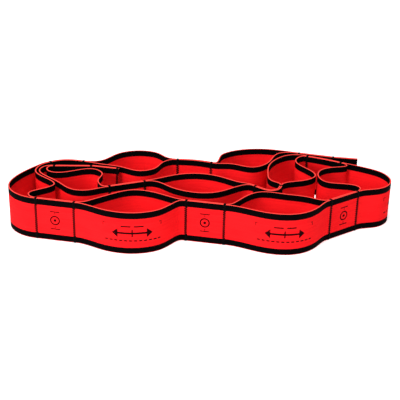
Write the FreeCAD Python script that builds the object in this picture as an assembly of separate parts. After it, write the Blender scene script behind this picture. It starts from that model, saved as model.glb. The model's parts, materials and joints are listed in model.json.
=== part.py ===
import FreeCAD, Part
import math
import os

V = FreeCAD.Vector
UP = V(0, 0, 1)

# Driving dimensions, in mm.
WIDTH = 40.0  # width of the webbing, which is the height of the band as it stands on edge
PLY = 1.4  # thickness of one ply of elastic webbing
SLIT = 0.1  # gap between the two plies of a flat, where they lie pressed together
BEND_OUT = 2.2  # from a seam line to the bending line next to it, outside the flat
BEND_GAP = 0.5  # clearance round a bending line that opens
TAIL_HEM = 1.5  # from the cut end of the first tail to its closing seam
STEP = 2.5  # spacing of the stations that carry the thickness along a curved ply

TEETH = 19  # zigzags of a seam over the width of the webbing
SWING = 1.1  # half the width of the zigzag
THREAD_WIDE = 0.7  # width of the thread, measured along the band
THREAD_PROUD = 0.3  # how far a stitch stands out of the webbing
THREAD_SUNK = 0.2  # how far a tight stitch sinks into it
THREAD_MARGIN = 0.3  # from the first and last stitch to the edges of the webbing
LOCK_EVERY = 4  # the thread crosses both plies at every fourth turn of the zigzag

STACK = PLY + SLIT / 2  # half the thickness of a flat, which also rounds its ends

# The band lies in a loose coil on its edge. Its centre line runs through these seam lines, in
# order from the closed tail inside the coil to the free tail behind it (plan view, mm).
SEAMS = [
    (-80, 19), (-107, 24), (-142, 22.5), (-85, -22), (-54, -9), (48, -14.5), (71.5, -12),
    (103, 61), (134, 46.5), (140.5, -21), (114, -40.5), (19.5, -55.5), (-14.5, -49),
    (-112.5, -58), (-147, -51), (-147, 32), (-115.5, 35.5), (-25, 45.5), (8, 39.5),
    (95.5, 69), (128.5, 60.5), (152, 57),
]

# The middle of the coil in that plan, which becomes the origin.
MIDDLE = (-0.36, 0.26)

# Seams beside which the band can turn while it lies coiled. At the others it is held by its
# neighbours in the coil, so the plies butt without a gap.
TURNING = (1, 2, 3, 13, 14, 15, 16, 17, 18, 19, 20)

# Flats: the two plies sewn face to face between two seams, with the plan points that bow some.
FLATS = [
    (1, 2, []),
    (3, 4, []),
    (5, 6, [(55, -20.5), (62, -23.5), (68.5, -20)]),
    (7, 8, [(119, 54.2)]),
    (9, 10, []),
    (11, 12, []),
    (13, 14, []),
    (15, 16, [(-139, 36.3), (-128, 37.8)]),
    (17, 18, [(-8, 44.2)]),
    (19, 20, []),
]

# Loops: from the seam before to the seam after, the left ply and the right ply.
LOOPS = [
    (2, 3, [(-147.5, 14), (-139, 6.5), (-118, 13.5), (-102.5, 16), (-94.5, 6), (-96.5, -11)],
     [(-151, 20), (-154, 12), (-146, -2), (-131, -17), (-118, -30.5), (-106, -32.5)]),
    (4, 5, [(-42, -2.5), (-28, 6), (-6, 11.5), (18, 4), (35, -7)],
     [(-43, -9.5), (-30, -20.5), (-12, -30.5), (6, -32), (22, -24)]),
    (6, 7, [(65.5, -3), (61.2, 14), (63.2, 34), (74.2, 55), (88, 64)],
     [(78, -4.5), (93, 0.5), (105.6, 12.5), (99, 30), (90.5, 45), (95, 59)]),
    (8, 9, [(154, 36.5), (171.2, 22.5), (175, 3), (162.5, -13.5)],
     [(139, 41), (123, 33.5), (108.7, 17), (113, 0), (131, -5), (144, -13)]),
    (10, 11, [(102, -56), (88, -69), (71, -73), (49, -68), (32, -60)],
     [(96, -37), (74, -31), (52, -27.5), (38, -38), (29, -50.5)]),
    (12, 13, [(-27, -57), (-40, -71), (-62, -77.3), (-86, -71.5), (-101, -63)],
     [(-30, -41.5), (-46, -32.5), (-62, -29.3), (-80, -38), (-98, -52.5)]),
    (14, 15, [(-165.5, -43), (-175.8, -25), (-170.6, 1.5), (-158.8, 21)],
     [(-155, -41.5), (-147.5, -33), (-135.5, -21), (-148, -4.5), (-157.5, 10)]),
    (16, 17, [(-100.5, 37), (-85, 55.5), (-63, 65.5), (-45, 60), (-35, 49)],
     [(-99, 29.5), (-77, 22.5), (-61, 14.8), (-47, 20.5), (-38.5, 38)]),
    (18, 19, [(15, 47), (18, 59.5), (38, 74.5), (61, 77.7), (82, 73.7)],
     [(26, 37.3), (47, 30), (60, 38), (67.7, 54), (75.4, 67.5)]),
]

SIDES = (("ply_left", 1), ("ply_right", -1))


def at(point):
    return V(point[0] - MIDDLE[0], point[1] - MIDDLE[1], 0)


def left_of(way):
    return UP.cross(way)


def curve(points, start=None, finish=None):
    """A smooth plan curve through points, with free ends or leaving and arriving as told."""
    spans = [(q - p).Length for p, q in zip(points, points[1:])]
    chords = [(q - p) * (1 / h) for p, q, h in zip(points, points[1:], spans)]
    rows = [(0, 2, 1, chords[0] * 3) if start is None else (0, 1, 0, start)]
    for h, k, c, d in zip(spans, spans[1:], chords, chords[1:]):
        rows.append((k, 2 * (h + k), h, (c * k + d * h) * 3))
    rows.append((1, 2, 0, chords[-1] * 3) if finish is None else (0, 1, 0, finish))
    above, along = [], []
    for low, mid, high, want in rows:
        if above:
            mid, want = mid - low * above[-1], want - along[-1] * low
        above.append(high / mid)
        along.append(want * (1 / mid))
    for i in range(len(rows) - 2, -1, -1):
        along[i] = along[i] - along[i + 1] * above[i]
    poles, knots = [points[0]], [0]
    for i, h in enumerate(spans):
        poles += [points[i] + along[i] * (h / 3), points[i + 1] - along[i + 1] * (h / 3)]
        knots.append(knots[-1] + h)
    counts = [4] + [2] * (len(spans) - 1) + [4]
    c = Part.BSplineCurve()
    c.buildFromPolesMultsKnots(poles + points[-1:], counts, knots, False, 3)
    return c


def way_at(c, u):
    return V(*c.tangent(u)[0]).normalize()


def beside(c, distance):
    """The plan curve that keeps a distance to the left of another."""
    first, last = c.FirstParameter, c.LastParameter
    count = max(6, round(c.length() / STEP))
    stations = [first + (last - first) * i / count for i in range(count + 1)]
    points = [c.value(u) + left_of(way_at(c, u)) * distance for u in stations]
    return curve(points, way_at(c, first), way_at(c, last))


def raised(edges):
    """The upright solid over a closed plan outline, as wide as the webbing."""
    return Part.Face(Part.Wire(Part.__sortEdges__(edges))).extrude(UP * WIDTH)


def line(a, b):
    return Part.makeLine(a, b)


def flat_curve(a, b, bow):
    points = [at(SEAMS[a])] + [at(p) for p in bow] + [at(SEAMS[b])]
    return curve(points)


def ends_of_flats():
    """For every seam of a flat, the direction that leads out of the flat there."""
    out = {}
    for a, b, bow in FLATS:
        c = flat_curve(a, b, bow)
        out[a] = way_at(c, c.FirstParameter) * -1
        out[b] = way_at(c, c.LastParameter)
    return out


OUT = ends_of_flats()


def bend(seam):
    """The bending line outside a seam, in plan."""
    return at(SEAMS[seam]) + OUT[seam] * BEND_OUT


def round_end(centre, way, side, reverse):
    """The quarter round that ends one ply of a flat, and the short run back to its inner face."""
    normal = left_of(way) * side
    reach = math.sqrt(STACK ** 2 - (SLIT / 2) ** 2)
    outer, tip = centre + normal * STACK, centre + way * reach * reverse + normal * SLIT / 2
    slant = (normal + way * reverse).normalize()
    arc = Part.Arc(outer, centre + slant * STACK, tip).toShape()
    return [arc, line(tip, centre + normal * SLIT / 2)]


def flat_ply(a, b, bow, side):
    """One ply of a flat, from the bending line before it to the one after it."""
    points = [bend(a)] + [at(SEAMS[a])] + [at(p) for p in bow] + [at(SEAMS[b])] + [bend(b)]
    c = curve(points, OUT[a] * -1, OUT[b])
    edges = [beside(c, side * STACK).toShape(), beside(c, side * SLIT / 2).toShape()]
    edges += round_end(bend(a), OUT[a] * -1, side, -1)
    edges += round_end(bend(b), OUT[b], side, 1)
    return raised(edges)


def hollow(seam):
    """The round room that a ply leaves about a bending line for the rounded end of the flat."""
    radius = STACK + (BEND_GAP if seam in TURNING else 0)
    return Part.makeCylinder(radius, WIDTH, bend(seam))


def strip(c):
    """A ply along a plan curve with square ends."""
    rims = beside(c, PLY / 2), beside(c, -PLY / 2)
    starts = [r.value(r.FirstParameter) for r in rims]
    finishes = [r.value(r.LastParameter) for r in rims]
    return raised([r.toShape() for r in rims] + [line(*starts), line(*finishes)])


def loop_ply(a, b, points, side):
    """One ply of an open loop, between the bending lines at its two ends."""
    start, finish = OUT[a], OUT[b] * -1
    path = [bend(a) + left_of(start) * side * PLY / 2] + [at(p) for p in points]
    path += [bend(b) + left_of(finish) * side * PLY / 2]
    return strip(curve(path, start, finish)).cut(hollow(a)).cut(hollow(b))


def tail_ply(seam, end, side):
    """One ply of a tail, from its bending line to its cut end."""
    way = (at(SEAMS[end]) - bend(seam)).normalize()
    shift = left_of(way) * side * STACK / 2
    c = curve([bend(seam) + shift, at(SEAMS[end]) + shift], way, way)
    rims = beside(c, side * STACK / 2), beside(c, side * (SLIT / 2 - STACK / 2))
    starts = [r.value(r.FirstParameter) for r in rims]
    finishes = [r.value(r.LastParameter) for r in rims]
    whole = raised([r.toShape() for r in rims] + [line(*starts), line(*finishes)])
    return whole.cut(hollow(seam))


def zigzag(centre, way, side):
    """The stitches of a seam on one face of the webbing."""
    turns = 2 * TEETH
    rise = (WIDTH - 2 * THREAD_MARGIN) / turns
    low, high = [], []
    for i in range(turns + 1):
        swing = SWING if i % 2 else -SWING
        point = centre + UP * (THREAD_MARGIN + i * rise)
        low.append(point + way * (swing - THREAD_WIDE / 2))
        high.append(point + way * (swing + THREAD_WIDE / 2))
    rim = low + high[::-1] + low[:1]
    normal = left_of(way) * side
    face = Part.Face(Part.makePolygon([p + normal * (STACK - THREAD_SUNK) for p in rim]))
    return face.extrude(normal * (THREAD_SUNK + THREAD_PROUD))


def seam(centre, way):
    """A zigzag seam: stitches on both faces, and the thread that crosses the plies."""
    turns = 2 * TEETH
    rise = (WIDTH - 2 * THREAD_MARGIN) / turns
    half = THREAD_WIDE / 2
    parts = [zigzag(centre, way, 1), zigzag(centre, way, -1)]
    normal = left_of(way)
    for i in range(LOCK_EVERY // 2, turns, LOCK_EVERY):
        swing = SWING if i % 2 else -SWING
        middle = centre + way * swing + UP * (THREAD_MARGIN + i * rise)
        corners = [middle + way * x + UP * z - normal * STACK
                   for x, z in ((-half, 0), (0, -half), (half, 0), (0, half), (-half, 0))]
        parts.append(Part.Face(Part.makePolygon(corners)).extrude(normal * 2 * STACK))
    return parts[0].fuse(parts[1:])


os.makedirs("parts", exist_ok=True)


def save(name, shape):
    shape.exportStep("parts/" + name + ".step")
    print(name, len(shape.Solids), round(shape.Volume, 1), shape.isValid())


for number, (a, b, bow) in enumerate(FLATS, 1):
    for name, side in SIDES:
        save("flat_%d_%s" % (number, name), flat_ply(a, b, bow, side))
    both = [seam(at(SEAMS[i]), OUT[i]) for i in (a, b)]
    save("flat_%d_seams" % number, Part.makeCompound([s for shape in both for s in shape.Solids]))

for number, (a, b, left, right) in enumerate(LOOPS, 1):
    for (name, side), points in zip(SIDES, (left, right)):
        save("loop_%d_%s" % (number, name), loop_ply(a, b, points, side))

for tail, start, end in (("closed_tail", 1, 0), ("free_tail", 20, 21)):
    for name, side in SIDES:
        save("%s_%s" % (tail, name), tail_ply(start, end, side))

hem = (at(SEAMS[0]) - bend(1)).normalize()
save("closed_tail_seam", seam(at(SEAMS[0]) - hem * TAIL_HEM, hem))
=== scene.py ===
"""The looks of a multi-loop stretching band: two plies of elastic webbing sewn together at every
seam, with hand and foot loops left open between the flats, standing on edge in a loose coil."""

import json
import math

import bmesh
import bpy
import numpy as np
from mathutils import Matrix, Vector, noise

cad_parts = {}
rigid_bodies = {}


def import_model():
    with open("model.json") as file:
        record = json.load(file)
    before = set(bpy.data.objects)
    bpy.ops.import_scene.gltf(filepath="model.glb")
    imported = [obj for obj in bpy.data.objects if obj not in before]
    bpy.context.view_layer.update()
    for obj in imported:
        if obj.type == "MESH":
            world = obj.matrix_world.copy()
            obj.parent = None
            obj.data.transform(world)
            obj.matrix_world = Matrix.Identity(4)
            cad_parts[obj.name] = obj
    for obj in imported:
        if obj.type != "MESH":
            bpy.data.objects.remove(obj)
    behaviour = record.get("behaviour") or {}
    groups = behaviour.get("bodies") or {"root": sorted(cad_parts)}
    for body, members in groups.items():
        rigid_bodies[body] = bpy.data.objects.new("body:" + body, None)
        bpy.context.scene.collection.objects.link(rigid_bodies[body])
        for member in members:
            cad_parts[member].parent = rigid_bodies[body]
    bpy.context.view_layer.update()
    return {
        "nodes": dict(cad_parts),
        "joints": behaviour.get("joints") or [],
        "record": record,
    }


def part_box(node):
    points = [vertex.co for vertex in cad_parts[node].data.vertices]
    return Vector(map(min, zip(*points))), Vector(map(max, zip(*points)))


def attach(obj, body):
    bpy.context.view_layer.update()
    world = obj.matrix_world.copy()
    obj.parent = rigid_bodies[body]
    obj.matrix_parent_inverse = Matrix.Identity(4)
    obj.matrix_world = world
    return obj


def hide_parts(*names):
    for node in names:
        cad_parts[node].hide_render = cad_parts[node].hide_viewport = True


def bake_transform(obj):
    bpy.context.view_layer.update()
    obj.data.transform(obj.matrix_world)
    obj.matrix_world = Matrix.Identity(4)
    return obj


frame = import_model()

# Sizes of the webbing and its sewing, in metres.
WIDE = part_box("flat_6_ply_left")[1].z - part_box("flat_6_ply_left")[0].z
PLY = 0.0014  # one ply as the frame holds it
THICK = 0.00134  # the cloth of a ply, a little less than its room
SELVEDGE = 0.0006  # how far the selvedge rounds off from each edge
STATION = 0.001  # spacing of the sections along a ply
NECK = 0.005  # how far past a bending line the neck piece reaches
BAND_FROM = 0.0001  # outside each black band only the rounded edge stays red
BAND_TO = 0.0061
PINCH = 0.00016  # how deep the seams pull the faces in
NIP = 0.00036  # how far the edge sewing pulls the selvedges in
PINCH_REACH = 0.0012  # how far along the webbing the pull of a seam fades
CORD = 0.0013  # pitch of the lengthwise cords of the weave
PICK = 0.00085  # pitch of the crosswise threads
STITCHES = 38  # straight stitches of a zigzag seam
SWING = 0.0015  # half the width of the zigzag
THREAD = 0.00042  # radius of the sewing thread
WHIPS = (-0.00066, 0.0, 0.00066)  # where the edge stitches stand beside the seam line
WHIP_REACH = 0.0018  # how far they come down over each face
SEAM_INSET = 0.0009  # how far inside the edges a zigzag starts and ends
SEAM_RISE = 0.00016  # how far a stitch stands proud at its middle
SEAM_SINK = 0.0002  # how far it sinks into the cloth at its ends
LOOSE_WAVE = 0.00017  # how far a loose ply waves out of its line
EDGE_WAVE = 0.0001  # how far the edges wander up and down
EDGE_SHY = 0.00012  # how far the cloth stops short of the webbing's width at each edge
END_STEP = 0.00008  # the short first and last rows that keep a cut end crisp

# The band's parts in order, from the closed tail inside the coil to the free tail behind it.
PARTS = ["closed_tail", "flat_1"]
for number in range(1, 10):
    PARTS += ["loop_%d" % number, "flat_%d" % (number + 1)]
PARTS.append("free_tail")

BODY_OF = {
    node: body
    for body, nodes in frame["record"]["behaviour"]["bodies"].items()
    for node in nodes
}
BEND_OF = {
    frozenset((joint["parent"], joint["child"])): Vector(joint["pos_m"])
    for joint in frame["joints"]
}


# ---------------------------------------------------------------- wiring of node trees


class Value:
    """A number carried by a socket. Arithmetic on it adds the Math nodes."""

    def __init__(self, wiring, socket):
        self.wiring, self.socket = wiring, socket

    def math(self, operation, *others):
        inputs = dict(enumerate((self,) + others))
        return self.wiring.node("ShaderNodeMath", {"operation": operation}, inputs)

    def __add__(self, other):
        return self.math("ADD", other)

    __radd__ = __add__

    def __sub__(self, other):
        return self.math("SUBTRACT", other)

    def __rsub__(self, other):
        return self * -1 + other

    def __mul__(self, other):
        return self.math("MULTIPLY", other)

    __rmul__ = __mul__

    def __truediv__(self, other):
        return self.math("DIVIDE", other)

    def size(self):
        return self.math("ABSOLUTE")

    def wave(self):
        return self.math("SINE")

    def below(self, limit):
        return self.math("LESS_THAN", limit)

    def above(self, limit):
        return self.math("GREATER_THAN", limit)

    def either(self, other):
        return self.math("MAXIMUM", other)

    def within(self, low, high):
        return self.above(low) * self.below(high)


class Wiring:
    """A node tree in the making."""

    def __init__(self, tree):
        self.tree = tree
        tree.nodes.clear()

    def socket(self, sockets, key):
        if isinstance(key, int):
            return sockets[key]
        return next(s for s in sockets if s.enabled and s.name == key)

    def node(self, kind, settings=None, inputs=None, output=0):
        """Adds a node: its settings first, then a value or a link for each socket."""
        made = self.tree.nodes.new(kind)
        for name, setting in (settings or {}).items():
            setattr(made, name, setting)
        for key, given in (inputs or {}).items():
            socket = self.socket(made.inputs, key)
            if isinstance(given, Value):
                self.tree.links.new(given.socket, socket)
            else:
                socket.default_value = given
        if not made.outputs:
            return made
        return Value(self, self.socket(made.outputs, output))

    def other(self, value, output):
        """Another output of the node that a value comes from."""
        return Value(self, self.socket(value.socket.node.outputs, output))

    def mix(self, share, low, high):
        return self.node(
            "ShaderNodeMix",
            {"data_type": "RGBA"},
            {"Factor": share, "A": low, "B": high},
            "Result",
        )


def finish_of(name):
    """A new material and the wiring of its nodes."""
    material = bpy.data.materials.new(name)
    material.use_nodes = True
    return material, Wiring(material.node_tree)


def close_surface(wiring, inputs):
    """Ends a material in one shader."""
    shader = wiring.node("ShaderNodeBsdfPrincipled", None, inputs)
    wiring.node("ShaderNodeOutputMaterial", None, {"Surface": shader})


# ---------------------------------------------------------------- finishes

RED = (0.86, 0.0115, 0.0145, 1)
# the deep red for random tone, for painted shade in the weave's grooves and for painted shade along
# the foot rim
RED_DEEP_TONE_AND_SHADE = (0.64, 0.0012, 0.0055, 1)
# the salmon red of the rim along the top edge, a painted highlight
PAINTED_TOP_RIM_HIGHLIGHT = (0.92, 0.062, 0.05, 1)
BLACK = (0.0012, 0.0008, 0.001, 1)
INK = (0.016, 0.0008, 0.0015, 1)


def ring_print(along, up):
    """The print on a flat: a ring between two short rules, to count the grips by."""
    ring_radius, ring_half_width, dot_radius = 0.0040, 0.0006, 0.0013
    far = (along * along + up * up).math("SQRT")
    ring = (far - ring_radius).size().below(ring_half_width)
    dot = far.below(dot_radius)
    rules = (up.size() - 0.0084).size().below(0.0005) * along.size().below(0.0044)
    ticks = (up.size() - 0.0067).size().below(0.0009) * along.size().below(0.0003)
    return ring.either(dot).either(rules).either(ticks)


def arrow_print(along, up):
    """The print on a loop: a double arrow for the stretch, with rules and corner ticks."""
    line, tip = 0.0002, 0.0178
    reach, off_line = along.size(), (up - line).size()
    shaft = off_line.below(0.0009) * reach.below(0.0135)
    heads = (off_line - (tip - reach) * 0.85).below(0.0) * reach.above(0.0126)
    notch = off_line.below(0.0034) * reach.below(0.0006)
    dashes = (along / 0.0043).math("FRACT").below(0.66)
    rule = (up + 0.0071).size().below(0.0006) * reach.below(0.0255) * dashes
    short = (up - 0.0066).size().below(0.0006) * reach.below(0.0098)
    gap = reach.above(0.0014)
    corner = (up - 0.0072).size().below(0.0016) * (reach - 0.0262).size().below(0.0003)
    foot = (up - 0.0088).size().below(0.0003) * (reach - 0.0254).size().below(0.0011)
    marks = shaft.either(heads).either(notch).either(rule)
    return marks.either(short * gap).either(corner).either(foot)


def webbing_finish(name, printed=None):
    """Woven elastic: bright red, with a black band along each edge and a red rim, lighter on top as
    a painted highlight and darker at the foot as painted shade.
    """
    material, wiring = finish_of(name)
    run = wiring.node("ShaderNodeUVMap", {"uv_map": "run"})
    parts = wiring.node("ShaderNodeSeparateXYZ", None, {0: run}, "X")
    along, around = parts, wiring.other(parts, "Y")
    place = wiring.node("ShaderNodeTexCoord", None, None, "Object")

    # The run goes up the outer face, over the top edge and down the inner one.
    below_top = (around - (WIDE + PLY / 2)).size() - PLY / 2
    above_foot = WIDE - below_top
    from_edge = below_top.math("MINIMUM", above_foot)
    ragged = wiring.node(
        "ShaderNodeTexNoise", None, {"Vector": place, "Scale": 900.0, "Detail": 1.0}, 0
    )
    edge = from_edge + (ragged - 0.5) * 0.00022
    band = edge.within(BAND_FROM, BAND_TO)
    rim = edge.below(BAND_FROM)

    cord = (below_top * (math.pi / CORD)).wave().size()
    row = (below_top / CORD).math("FLOOR")
    pick = ((along * (2 * math.pi / PICK)) + row * math.pi).wave()
    fuzz = wiring.node(
        "ShaderNodeTexNoise", None, {"Vector": place, "Scale": 1500.0, "Detail": 3.0}, 0
    )
    stretch = wiring.node(
        "ShaderNodeMapping", None, {"Vector": run, "Scale": (28.0, 700.0, 1.0)}
    )
    streak = wiring.node(
        "ShaderNodeTexNoise", None, {"Vector": stretch, "Scale": 1.0, "Detail": 2.0}, 0
    )
    cloud = wiring.node(
        "ShaderNodeTexNoise", None, {"Vector": place, "Scale": 42.0, "Detail": 2.0}, 0
    )

    # Darker red from random tone in streaks, clouds and fuzz, plus painted shade in the grooves
    # between the cords and between the crosswise threads.
    tone_and_groove_shade = 0.42 - cord * 0.30 + (streak - 0.5) * 0.9 + (cloud - 0.5) * 0.5
    tone_and_groove_shade = (tone_and_groove_shade + (fuzz - 0.5) * 0.35 - pick * 0.06).math("MAXIMUM", 0.0)
    tone_and_groove_shade = tone_and_groove_shade.math("MINIMUM", 1.0)
    colour = wiring.mix(tone_and_groove_shade, RED, RED_DEEP_TONE_AND_SHADE)
    # The rim along the top edge takes the salmon red as a painted highlight, the rim along the foot
    # the deep red as painted shade.
    colour = wiring.mix(rim, colour, wiring.mix(below_top.below(WIDE / 2), RED_DEEP_TONE_AND_SHADE, PAINTED_TOP_RIM_HIGHLIGHT))
    colour = wiring.mix(band, colour, BLACK)
    if printed:
        outer = around.below(WIDE)
        worn = (fuzz + streak * 0.5).below(0.98)
        mark = printed(along, around - WIDE / 2) * outer * worn
        colour = wiring.mix(mark, colour, INK)

    height = cord * 0.6 + pick * 0.22 + (fuzz - 0.5) * 0.7 + (streak - 0.5) * 0.3
    normal = wiring.node(
        "ShaderNodeBump", None, {"Strength": 0.55, "Distance": 0.00016, "Height": height}
    )
    close_surface(
        wiring,
        {
            "Base Color": colour,
            "Roughness": 0.78 + (fuzz - 0.5) * 0.2,
            "Normal": normal,
            "Specular IOR Level": 0.015,
            "Sheen Weight": 0.004,
            "Sheen Roughness": 0.5,
            "Sheen Tint": (1.0, 0.35, 0.3, 1.0),
        },
    )
    return material


def thread_finish():
    """Black polyester sewing thread, twisted from three strands."""
    material, wiring = finish_of("sewing_thread")
    place = wiring.node("ShaderNodeTexCoord", None, None, "Object")
    x = wiring.node("ShaderNodeSeparateXYZ", None, {0: place}, "X")
    y, z = wiring.other(x, "Y"), wiring.other(x, "Z")
    twist = ((x + y) * 5200.0 + z * 7400.0).wave()
    lint = wiring.node(
        "ShaderNodeTexNoise", None, {"Vector": place, "Scale": 2600.0, "Detail": 2.0}, 0
    )
    colour = wiring.mix(lint, (0.0008, 0.0006, 0.0007, 1), (0.003, 0.0018, 0.002, 1))
    height = twist * 0.5 + lint * 0.5
    normal = wiring.node(
        "ShaderNodeBump", None, {"Strength": 0.6, "Distance": 0.0001, "Height": height}
    )
    close_surface(
        wiring,
        {
            "Base Color": colour,
            "Roughness": 0.55 + twist * 0.08,
            "Normal": normal,
            "Specular IOR Level": 0.03,
        },
    )
    return material


def glowing_table_finish():
    """The pale table top that the band stands on. It glows faintly, painted light that whitens the
    floor, lifts its shadows and lights the band a little from below.
    """
    material, wiring = finish_of("pale_glowing_table")
    place = wiring.node("ShaderNodeTexCoord", None, None, "Object")
    grain = wiring.node(
        "ShaderNodeTexNoise", None, {"Vector": place, "Scale": 60.0, "Detail": 4.0}, 0
    )
    colour = wiring.mix(grain, (0.93, 0.93, 0.93, 1), (0.96, 0.96, 0.96, 1))
    close_surface(
        wiring,
        {
            "Base Color": colour,
            "Roughness": 0.7 + grain * 0.1,
            "Specular IOR Level": 0.2,
            # A faint glow, painted light: the table is no lamp.
            "Emission Color": (1.0, 1.0, 1.0, 1.0),
            "Emission Strength": 0.3,
        },
    )
    return material


# ---------------------------------------------------------------- lines of the webbing


def evenly(points, gap):
    """Points at even spacing along a line in plan."""
    far = np.concatenate([[0], np.cumsum(np.linalg.norm(np.diff(points, axis=0), axis=1))])
    count = max(2, round(far[-1] / gap) + 1)
    at = np.linspace(0, far[-1], count)
    return np.stack([np.interp(at, far, points[:, i]) for i in (0, 1)], axis=1)


def outline(node):
    """The closed outline of an upright ply in plan, walked round its lower face."""
    mesh = bmesh.new()
    mesh.from_mesh(frame["nodes"][node].data)
    bmesh.ops.remove_doubles(mesh, verts=mesh.verts, dist=1e-6)
    under = {f for f in mesh.faces if max(v.co.z for v in f.verts) < 1e-5}
    beside = {}
    for face in under:
        for edge in face.edges:
            if sum(f in under for f in edge.link_faces) == 1:
                one, other = edge.verts
                beside.setdefault(one, []).append(other)
                beside.setdefault(other, []).append(one)
    first = next(iter(beside))
    ring, last, here = [first], first, beside[first][0]
    while here is not first:
        ring.append(here)
        last, here = here, next(v for v in beside[here] if v is not last)
    points = np.array([v.co.xy for v in ring])
    mesh.free()
    return points


def midline(node):
    """The middle of a ply in plan, where it has its full thickness."""
    ring = outline(node)
    into = ring - np.roll(ring, 1, axis=0)
    into /= np.linalg.norm(into, axis=1)[:, None]
    onward = np.roll(into, -1, axis=0)
    corners = np.flatnonzero((into * onward).sum(1) < 0.75)
    ring, corners = np.roll(ring, -corners[0], axis=0), corners - corners[0]
    ring = np.concatenate([ring, ring[:1]])
    runs = [ring[a : b + 1] for a, b in zip(corners, list(corners[1:]) + [len(ring) - 1])]
    reach = [np.linalg.norm(np.diff(run, axis=0), axis=1).sum() for run in runs]
    one, two = [runs[i] for i in np.argsort(reach)[-2:]]
    one, two = evenly(one, 0.0005), evenly(two, 0.0001)
    gaps = np.linalg.norm(one[:, None] - two[None], axis=2)
    nearest = gaps.argmin(1)
    full = np.abs(gaps.min(1) - PLY) < 0.00003
    return ((one + two[nearest]) / 2)[full]


def smooth_line(points, gap):
    """A smooth line through points in plan, given back at even spacing."""
    span = np.linalg.norm(np.diff(points, axis=0), axis=1)
    count = len(points)
    rows, wanted = np.zeros((count, count)), np.zeros((count, 2))
    rows[0, 0] = rows[-1, -1] = 1
    for i in range(1, count - 1):
        rows[i, i - 1 : i + 2] = span[i - 1], 2 * (span[i - 1] + span[i]), span[i]
        wanted[i] = (points[i + 1] - points[i]) / span[i]
        wanted[i] -= (points[i] - points[i - 1]) / span[i - 1]
    bends = np.linalg.solve(rows, wanted * 6)
    fine = []
    for i, h in enumerate(span):
        t = np.linspace(0, 1, 9)[:-1, None]
        bow = (1 - t) ** 3 - (1 - t), t ** 3 - t
        bulge = (bends[i] * bow[0] + bends[i + 1] * bow[1]) * h * h / 6
        fine.append(points[i] * (1 - t) + points[i + 1] * t + bulge)
    return evenly(np.concatenate(fine + [points[-1:]]), gap)


class Strip:
    """One of the band's two plies, as an unbroken line in plan from tail to tail."""

    def __init__(self, side):
        self.side = 1 if side == "left" else -1
        self.nodes = {}
        points = None
        for part in PARTS:
            # The closed tail's plies are named looking the other way along the band.
            swapped = {"left": "right", "right": "left"}[side]
            own = swapped if part == "closed_tail" else side
            node = "%s_ply_%s" % (part, own)
            self.nodes[part] = node
            run = evenly(midline(node), 0.0025)
            if points is None:
                goal = sum(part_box("flat_1_ply_left"), Vector()) / 2
                if (goal.xy - Vector(run[0])).length < (goal.xy - Vector(run[-1])).length:
                    run = run[::-1]
                points = run
                continue
            if np.linalg.norm(run[0] - points[-1]) > np.linalg.norm(run[-1] - points[-1]):
                run = run[::-1]
            points = np.concatenate([points, run])
        self.points = smooth_line(points, STATION / 4)
        self.far = np.arange(len(self.points)) * np.linalg.norm(
            np.diff(self.points[:2], axis=0)
        )
        self.ways = np.gradient(self.points, self.far, axis=0)
        self.ways /= np.linalg.norm(self.ways, axis=1)[:, None]

    def mark(self, points):
        """How far along the strip the places nearest to some points are."""
        gaps = np.linalg.norm(self.points[None] - np.atleast_2d(points)[:, None], axis=2)
        return self.far[gaps.argmin(1)]

    def at(self, far):
        """Plan point and unit direction at a distance along the strip."""
        point = [np.interp(far, self.far, self.points[:, i]) for i in (0, 1)]
        way = np.array([np.interp(far, self.far, self.ways[:, i]) for i in (0, 1)])
        return np.array(point).T, (way / np.linalg.norm(way, axis=0)).T


def seam_lines():
    """Seam lines in plan by part: where the stitches of each seam have their middle."""
    lines = {}
    for part in PARTS[:-1]:
        if part.startswith("loop"):
            continue
        node = part + ("_seam" if part == "closed_tail" else "_seams")
        spots = np.array([v.co.xy for v in frame["nodes"][node].data.vertices])
        axis = spots - spots.mean(0)
        turned = axis @ np.linalg.svd(axis, full_matrices=False)[2][0]
        if part == "closed_tail":
            groups = [spots]
        else:
            groups = [spots[turned < 0], spots[turned >= 0]]
        lines[part] = [(g.min(0) + g.max(0)) / 2 for g in groups]
    return lines


# ---------------------------------------------------------------- cloth


def section():
    """Once round a ply: outward place, height and run of each corner. The run goes up the outer
    face, over the top edge, down the inner face and under the lower edge."""
    half, top = THICK / 2, WIDE - SELVEDGE
    rows = [SELVEDGE, 0.0014, 0.0034, 0.0062, 0.009, 0.0125, 0.016]
    rows += [WIDE / 2] + [WIDE - row for row in reversed(rows)]
    turn = [math.pi * k / 7 for k in range(1, 7)]
    lap = PLY + 2 * SELVEDGE
    corners = [(half, h, h) for h in rows]
    corners += [
        (half * math.cos(a), top + SELVEDGE * math.sin(a), top + lap * a / math.pi)
        for a in turn
    ]
    corners += [(-half, h, 2 * WIDE + PLY - h) for h in reversed(rows)]
    foot = 2 * WIDE + PLY - SELVEDGE
    corners += [
        (-half * math.cos(a), SELVEDGE - SELVEDGE * math.sin(a), foot + lap * a / math.pi)
        for a in turn
    ]
    return np.array(corners)


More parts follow.
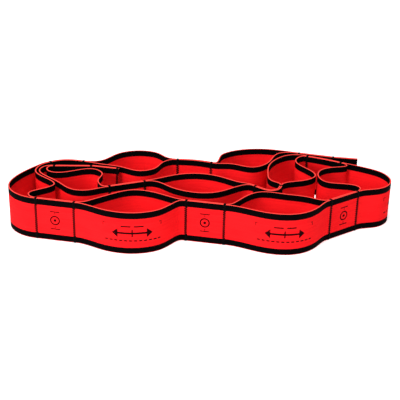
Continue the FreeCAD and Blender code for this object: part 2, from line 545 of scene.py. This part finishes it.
def webbing(name, strip, start, finish, middle, material, loose):
    """A length of one ply between two places along its strip. Near a seam its outer face and
    its edges are pulled in; between the seams a loose ply waves a little."""
    inside = np.linspace(start, finish, max(3, round((finish - start) / STATION) + 1))
    far = np.concatenate([inside[:1], inside[:1] + END_STEP, inside[1:-1]])
    far = np.concatenate([far, inside[-1:] - END_STEP, inside[-1:]])
    corners = section()
    rows, around = len(far), len(corners)
    point, way = strip.at(far)
    outward = np.stack([-way[:, 1], way[:, 0]], axis=1) * strip.side
    off_seam = np.abs(far[:, None] - strip.seams[None]).min(1)
    pull = np.exp(-((off_seam / PINCH_REACH) ** 2))
    slack = np.clip(off_seam / 0.022 - 0.15, 0, 1) * loose

    out = np.tile(corners[:, 0], (rows, 1))
    high = np.tile(corners[:, 1], (rows, 1))
    out -= PINCH * pull[:, None] * (corners[:, 0] > 0)
    for i, d in enumerate(far):
        for j, (_, h, _) in enumerate(corners):
            spot = Vector((d * 34, h * 42, strip.side * 7.3))
            out[i, j] += LOOSE_WAVE * slack[i] * noise.noise(spot)
            high[i, j] += EDGE_WAVE * noise.noise(Vector((d * 60, h * 20, strip.side * 3.1)))
    room = 1 - 2 * (NIP * pull[:, None] + EDGE_SHY) / WIDE
    high = WIDE / 2 + (high - WIDE / 2) * room
    plan = point[:, None] + outward[:, None] * out[..., None]
    spots = np.concatenate([plan, high[..., None]], axis=2).reshape(-1, 3)

    corner = np.arange(around)
    onward = (corner + 1) % around
    base = (np.arange(rows - 1) * around)[:, None]
    quads = [base + corner, base + onward, base + around + onward, base + around + corner]
    quads = np.stack(quads, axis=2).reshape(-1, 4)
    lap = np.concatenate([corners[:, 2], [2 * WIDE + 2 * PLY + SELVEDGE]])
    along = far - middle
    u = np.stack([along[:-1], along[:-1], along[1:], along[1:]], axis=1)
    u = np.repeat(u, around, axis=0)
    v = np.stack([lap[:-1], lap[1:], lap[1:], lap[:-1]], axis=1)
    v = np.tile(v, (rows - 1, 1))
    if strip.side < 0:
        quads, u, v = quads[:, ::-1], u[:, ::-1], v[:, ::-1]
    first, last = list(corner[::-1]), list(corner + (rows - 1) * around)
    if strip.side < 0:
        first, last = first[::-1], last[::-1]
    ends = [[far_end, [int(c) for c in cap]] for far_end, cap in ((0, first), (-1, last))]

    mesh = bpy.data.meshes.new(name)
    mesh.from_pydata(spots.tolist(), [], quads.tolist() + [cap for _, cap in ends])
    run = np.stack([u, v], axis=2).reshape(-1, 2)
    for far_end, cap in ends:
        height = corners[np.array(cap) % around, 1]
        own = np.stack([np.full(around, along[far_end]), height], axis=1)
        run = np.concatenate([run, own])
    mesh.uv_layers.new(name="run").data.foreach_set("uv", run.ravel())
    mesh.shade_smooth()
    for edge in mesh.edges:
        a, b = (vertex // around for vertex in edge.vertices)
        if a == b and a in (0, rows - 1):
            edge.use_edge_sharp = True
    mesh.materials.append(material)
    piece = bpy.data.objects.new(name, mesh)
    bpy.context.scene.collection.objects.link(piece)
    return piece


# ---------------------------------------------------------------- sewing


def sewing_tree(material):
    """Turns upright lines into zigzag stitches, and other lines into plain ones. A line's
    points carry the directions along the webbing and out of it, and whether it zigzags."""
    tree = bpy.data.node_groups.new("zigzag_sewing", "GeometryNodeTree")
    wiring = Wiring(tree)
    ask = tree.interface.new_socket
    ask(name="Lines", in_out="INPUT", socket_type="NodeSocketGeometry")
    sizes = {}
    for size, kind in (
        ("Stitches", "NodeSocketInt"),
        ("Swing", "NodeSocketFloat"),
        ("Rise", "NodeSocketFloat"),
        ("Sink", "NodeSocketFloat"),
        ("Thread radius", "NodeSocketFloat"),
        ("Step", "NodeSocketFloat"),
    ):
        sizes[size] = ask(name=size, in_out="INPUT", socket_type=kind).identifier
    ask(name="Threads", in_out="OUTPUT", socket_type="NodeSocketGeometry")

    given = wiring.node("NodeGroupInput", None, None, "Lines")
    size = {name: wiring.other(given, name) for name in sizes}

    def carried(name, kind):
        settings = {"data_type": kind}
        return wiring.node(
            "GeometryNodeInputNamedAttribute", settings, {"Name": name}, "Attribute"
        )

    def scaled(vector, scale):
        settings = {"operation": "SCALE"}
        return wiring.node("ShaderNodeVectorMath", settings, {0: vector, "Scale": scale})

    lines = wiring.node("GeometryNodeMeshToCurve", None, {"Mesh": given})
    lines = wiring.node(
        "GeometryNodeResampleCurve", {"mode": "LENGTH"}, {"Curve": lines, "Length": size["Step"]}
    )
    way_up = wiring.node("GeometryNodeSplineParameter", None, None, "Factor")
    turns = way_up * size["Stitches"]
    zigzag = carried("zigzag", "FLOAT")
    sway = (turns.math("PINGPONG", 1.0) * 2 - 1) * size["Swing"] * zigzag
    hump = (turns * math.pi).wave().size() * (size["Rise"] + size["Sink"])
    lift = (hump - size["Sink"]) * zigzag
    shift = wiring.node(
        "ShaderNodeVectorMath",
        {"operation": "ADD"},
        {
            0: scaled(carried("along", "FLOAT_VECTOR"), sway),
            1: scaled(carried("outward", "FLOAT_VECTOR"), lift),
        },
    )
    lines = wiring.node("GeometryNodeSetPosition", None, {"Geometry": lines, "Offset": shift})
    ring = wiring.node(
        "GeometryNodeCurvePrimitiveCircle", None, {"Resolution": 7, "Radius": size["Thread radius"]}
    )
    tube = wiring.node(
        "GeometryNodeCurveToMesh",
        None,
        {"Curve": lines, "Profile Curve": ring, "Fill Caps": True},
    )
    tube = wiring.node("GeometryNodeSetShadeSmooth", None, {"Geometry": tube})
    tube = wiring.node("GeometryNodeRealizeInstances", None, {"Geometry": tube})
    tube = wiring.node("GeometryNodeSetMaterial", None, {"Geometry": tube, "Material": material})
    wiring.node("NodeGroupOutput", None, {"Threads": tube})
    return tree, sizes


def sewn(name, seams, tree, sizes):
    """The sewing of one part: a zigzag up both faces at every seam, and whips over its edges."""
    spots, edges, along, outward, zigzag = [], [], [], [], []

    def line(points, way, out, zig):
        first = len(spots)
        spots.extend(points)
        edges.extend((i, i + 1) for i in range(first, len(spots) - 1))
        along.extend([way] * len(points))
        outward.extend([out] * len(points))
        zigzag.extend([zig] * len(points))

    for centre, way, half in seams:
        out = Vector((-way.y, way.x, 0))
        for side in (1, -1):
            foot = centre + out * side * half
            ends = [foot + Vector((0, 0, z)) for z in (SEAM_INSET, WIDE - SEAM_INSET)]
            line(ends, way, out * side, 1.0)
        for edge, down in ((WIDE - NIP + 0.00002, -1), (NIP - 0.00002, 1)):
            for beside in WHIPS:
                arch = [
                    (half - 0.0004, WHIP_REACH + 0.0002),
                    (half + 0.00008, WHIP_REACH - 0.0002),
                    (half + 0.00016, 0.0006),
                    (half - 0.0001, 0.0001),
                    (half * 0.6, 0),
                ]
                arch += [(-a, b) for a, b in reversed(arch)]
                points = [
                    centre + way * beside + out * a + Vector((0, 0, edge + down * b))
                    for a, b in arch
                ]
                line(points, way, out, 0.0)

    mesh = bpy.data.meshes.new(name)
    mesh.from_pydata(spots, edges, [])
    for key, kind, values in (
        ("along", "FLOAT_VECTOR", np.array(along)),
        ("outward", "FLOAT_VECTOR", np.array(outward)),
        ("zigzag", "FLOAT", np.array(zigzag)),
    ):
        field = "vector" if kind == "FLOAT_VECTOR" else "value"
        mesh.attributes.new(key, kind, "POINT").data.foreach_set(field, values.ravel())
    piece = bpy.data.objects.new(name, mesh)
    bpy.context.scene.collection.objects.link(piece)
    pitch = (WIDE - 2 * SEAM_INSET) / STITCHES
    sewing = piece.modifiers.new("sewing", "NODES")
    sewing.node_group = tree
    for size, value in (
        ("Stitches", STITCHES),
        ("Swing", SWING),
        ("Rise", SEAM_RISE),
        ("Sink", SEAM_SINK),
        ("Thread radius", THREAD),
        ("Step", pitch / 6),
    ):
        sewing[sizes[size]] = value
    depsgraph = bpy.context.evaluated_depsgraph_get()
    threads = bpy.data.meshes.new_from_object(piece.evaluated_get(depsgraph))
    piece.modifiers.clear()
    piece.data = threads
    return piece


# ---------------------------------------------------------------- the band

floor_mesh = bpy.data.meshes.new("table_top")
corners = [(-6.0, -6.0, 0), (6.0, -6.0, 0), (6.0, 6.0, 0), (-6.0, 6.0, 0)]
floor_mesh.from_pydata(corners, [], [(0, 1, 2, 3)])
floor_mesh.materials.append(glowing_table_finish())
table_top = bpy.data.objects.new("table_top", floor_mesh)
bpy.context.scene.collection.objects.link(table_top)

plain = webbing_finish("red_webbing")
print_on = {
    "loop": webbing_finish("red_webbing_with_arrow", arrow_print),
    "flat": webbing_finish("red_webbing_with_ring", ring_print),
}
thread = thread_finish()
strips = {side: Strip(side) for side in ("left", "right")}
lines = seam_lines()


def body(part):
    return BODY_OF[part + "_ply_left"]


def bend_between(one, other):
    """Where two neighbouring parts bend, or None where the coil holds them as one."""
    return BEND_OF.get(frozenset((body(one), body(other))))


for side, strip in strips.items():
    # A flat's two seam lines, in the order of the band, and the ends of every part.
    places = {part: sorted(strip.mark(np.array(spots))) for part, spots in lines.items()}
    strip.seams = np.array(sorted(sum((list(p) for p in places.values()), [])))
    ends = {}
    for i, part in enumerate(PARTS):
        if part == "closed_tail":
            ends[part] = 0.0, places["flat_1"][0]
        elif part == "free_tail":
            ends[part] = places["flat_10"][1], strip.far[-1]
        elif part.startswith("flat"):
            ends[part] = places[part]
        else:
            ends[part] = places[PARTS[i - 1]][1], places[PARTS[i + 1]][0]

    for i, part in enumerate(PARTS):
        start, finish = ends[part]
        middle = (start + finish) / 2
        kind = part.split("_")[0]
        finish_here = print_on.get(kind, plain) if side == "left" else plain
        if kind != "flat":
            # Beside a bending line, a short neck of webbing is made as a piece of its own, held by
            # neither body.
            for other, at_start in ((i - 1, True), (i + 1, False)):
                if not 0 <= other < len(PARTS):
                    continue
                flat = PARTS[other]
                bend = bend_between(flat, part)
                if bend is None:
                    continue
                line = strip.mark(np.array(bend.xy))[0]
                edge = line + (NECK if at_start else -NECK)
                low, high = (start, edge) if at_start else (edge, finish)
                name = "%s_neck_at_%s_%s" % (part, flat, side)
                neck = webbing(name, strip, low, high, middle, plain, 0)
                near, away = (low, high) if at_start else (high, low)
                spot, _ = strip.at(np.array([near, away]))
                reach = Vector((*(spot[1] - spot[0]), 0))
                body(flat)
                body(part)
                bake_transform(neck)
                start, finish = (edge, finish) if at_start else (start, edge)
        piece = webbing(
            "%s_%s_webbing" % (part, side),
            strip,
            start,
            finish,
            middle,
            finish_here,
            1 if kind == "loop" else 0,
        )
        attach(piece, body(part))
        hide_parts(strip.nodes[part])
        finish - start

tree, sizes = sewing_tree(thread)
for part, spots in lines.items():
    seams = []
    for spot in spots:
        both = {}
        for side, strip in strips.items():
            place, way = strip.at(strip.mark(np.array(spot)))
            both[side] = place[0], way[0]
        left, right = both["left"][0], both["right"][0]
        way = Vector((*both["left"][1], 0)).normalized()
        half = np.linalg.norm(left - right) / 2 + THICK / 2 - PINCH
        seams.append((Vector((*(left + right) / 2, 0)), way, half))
    piece = sewn(part + "_stitches", seams, tree, sizes)
    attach(piece, body(part))
    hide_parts(part + ("_seam" if part == "closed_tail" else "_seams"))


# ---------------------------------------------------------------- light and camera


def soft_light(name, place, aim, size, power):
    """A large soft lamp at a place, facing its aim."""
    lamp = bpy.data.lights.new(name, "AREA")
    lamp.shape, lamp.size, lamp.energy = "DISK", size, power
    holder = bpy.data.objects.new(name, lamp)
    holder.location = place
    facing = Vector(aim) - Vector(place)
    holder.rotation_euler = facing.to_track_quat("-Z", "Y").to_euler()
    bpy.context.scene.collection.objects.link(holder)


soft_light("overhead_softbox", (0.0, -0.3, 1.6), (0, 0, 0), 1.0, 23.0)
soft_light("left_softbox", (-0.9, -0.9, 0.55), (0, 0, 0.02), 0.5, 13.5)

world = bpy.data.worlds.new("studio")
world.use_nodes = True
world.node_tree.nodes["Background"].inputs["Color"].default_value = (1, 1, 1, 1)
world.node_tree.nodes["Background"].inputs["Strength"].default_value = 0.42
bpy.context.scene.world = world
bpy.context.scene.view_settings.view_transform = "Standard"

pitch, roll = math.radians(23.933), math.radians(1.335)
level, over = Vector((1, 0, 0)), Vector((0, math.sin(pitch), math.cos(pitch)))
ahead = Vector((0, math.cos(pitch), -math.sin(pitch)))
right = level * math.cos(roll) + over * math.sin(roll)
above = over * math.cos(roll) - level * math.sin(roll)
lens = bpy.data.cameras.new("camera")
lens.lens, lens.sensor_width, lens.shift_y = 83.33, 36.0, -0.038
lens.clip_start, lens.clip_end = 0.02, 30.0
camera = bpy.data.objects.new("camera", lens)
turned = Matrix((right, above, -ahead)).transposed().to_4x4()
camera.matrix_world = Matrix.Translation((-0.0024, -0.7895, 0.3833)) @ turned
bpy.context.scene.collection.objects.link(camera)
bpy.context.scene.camera = camera

bpy.context.view_layer.update()
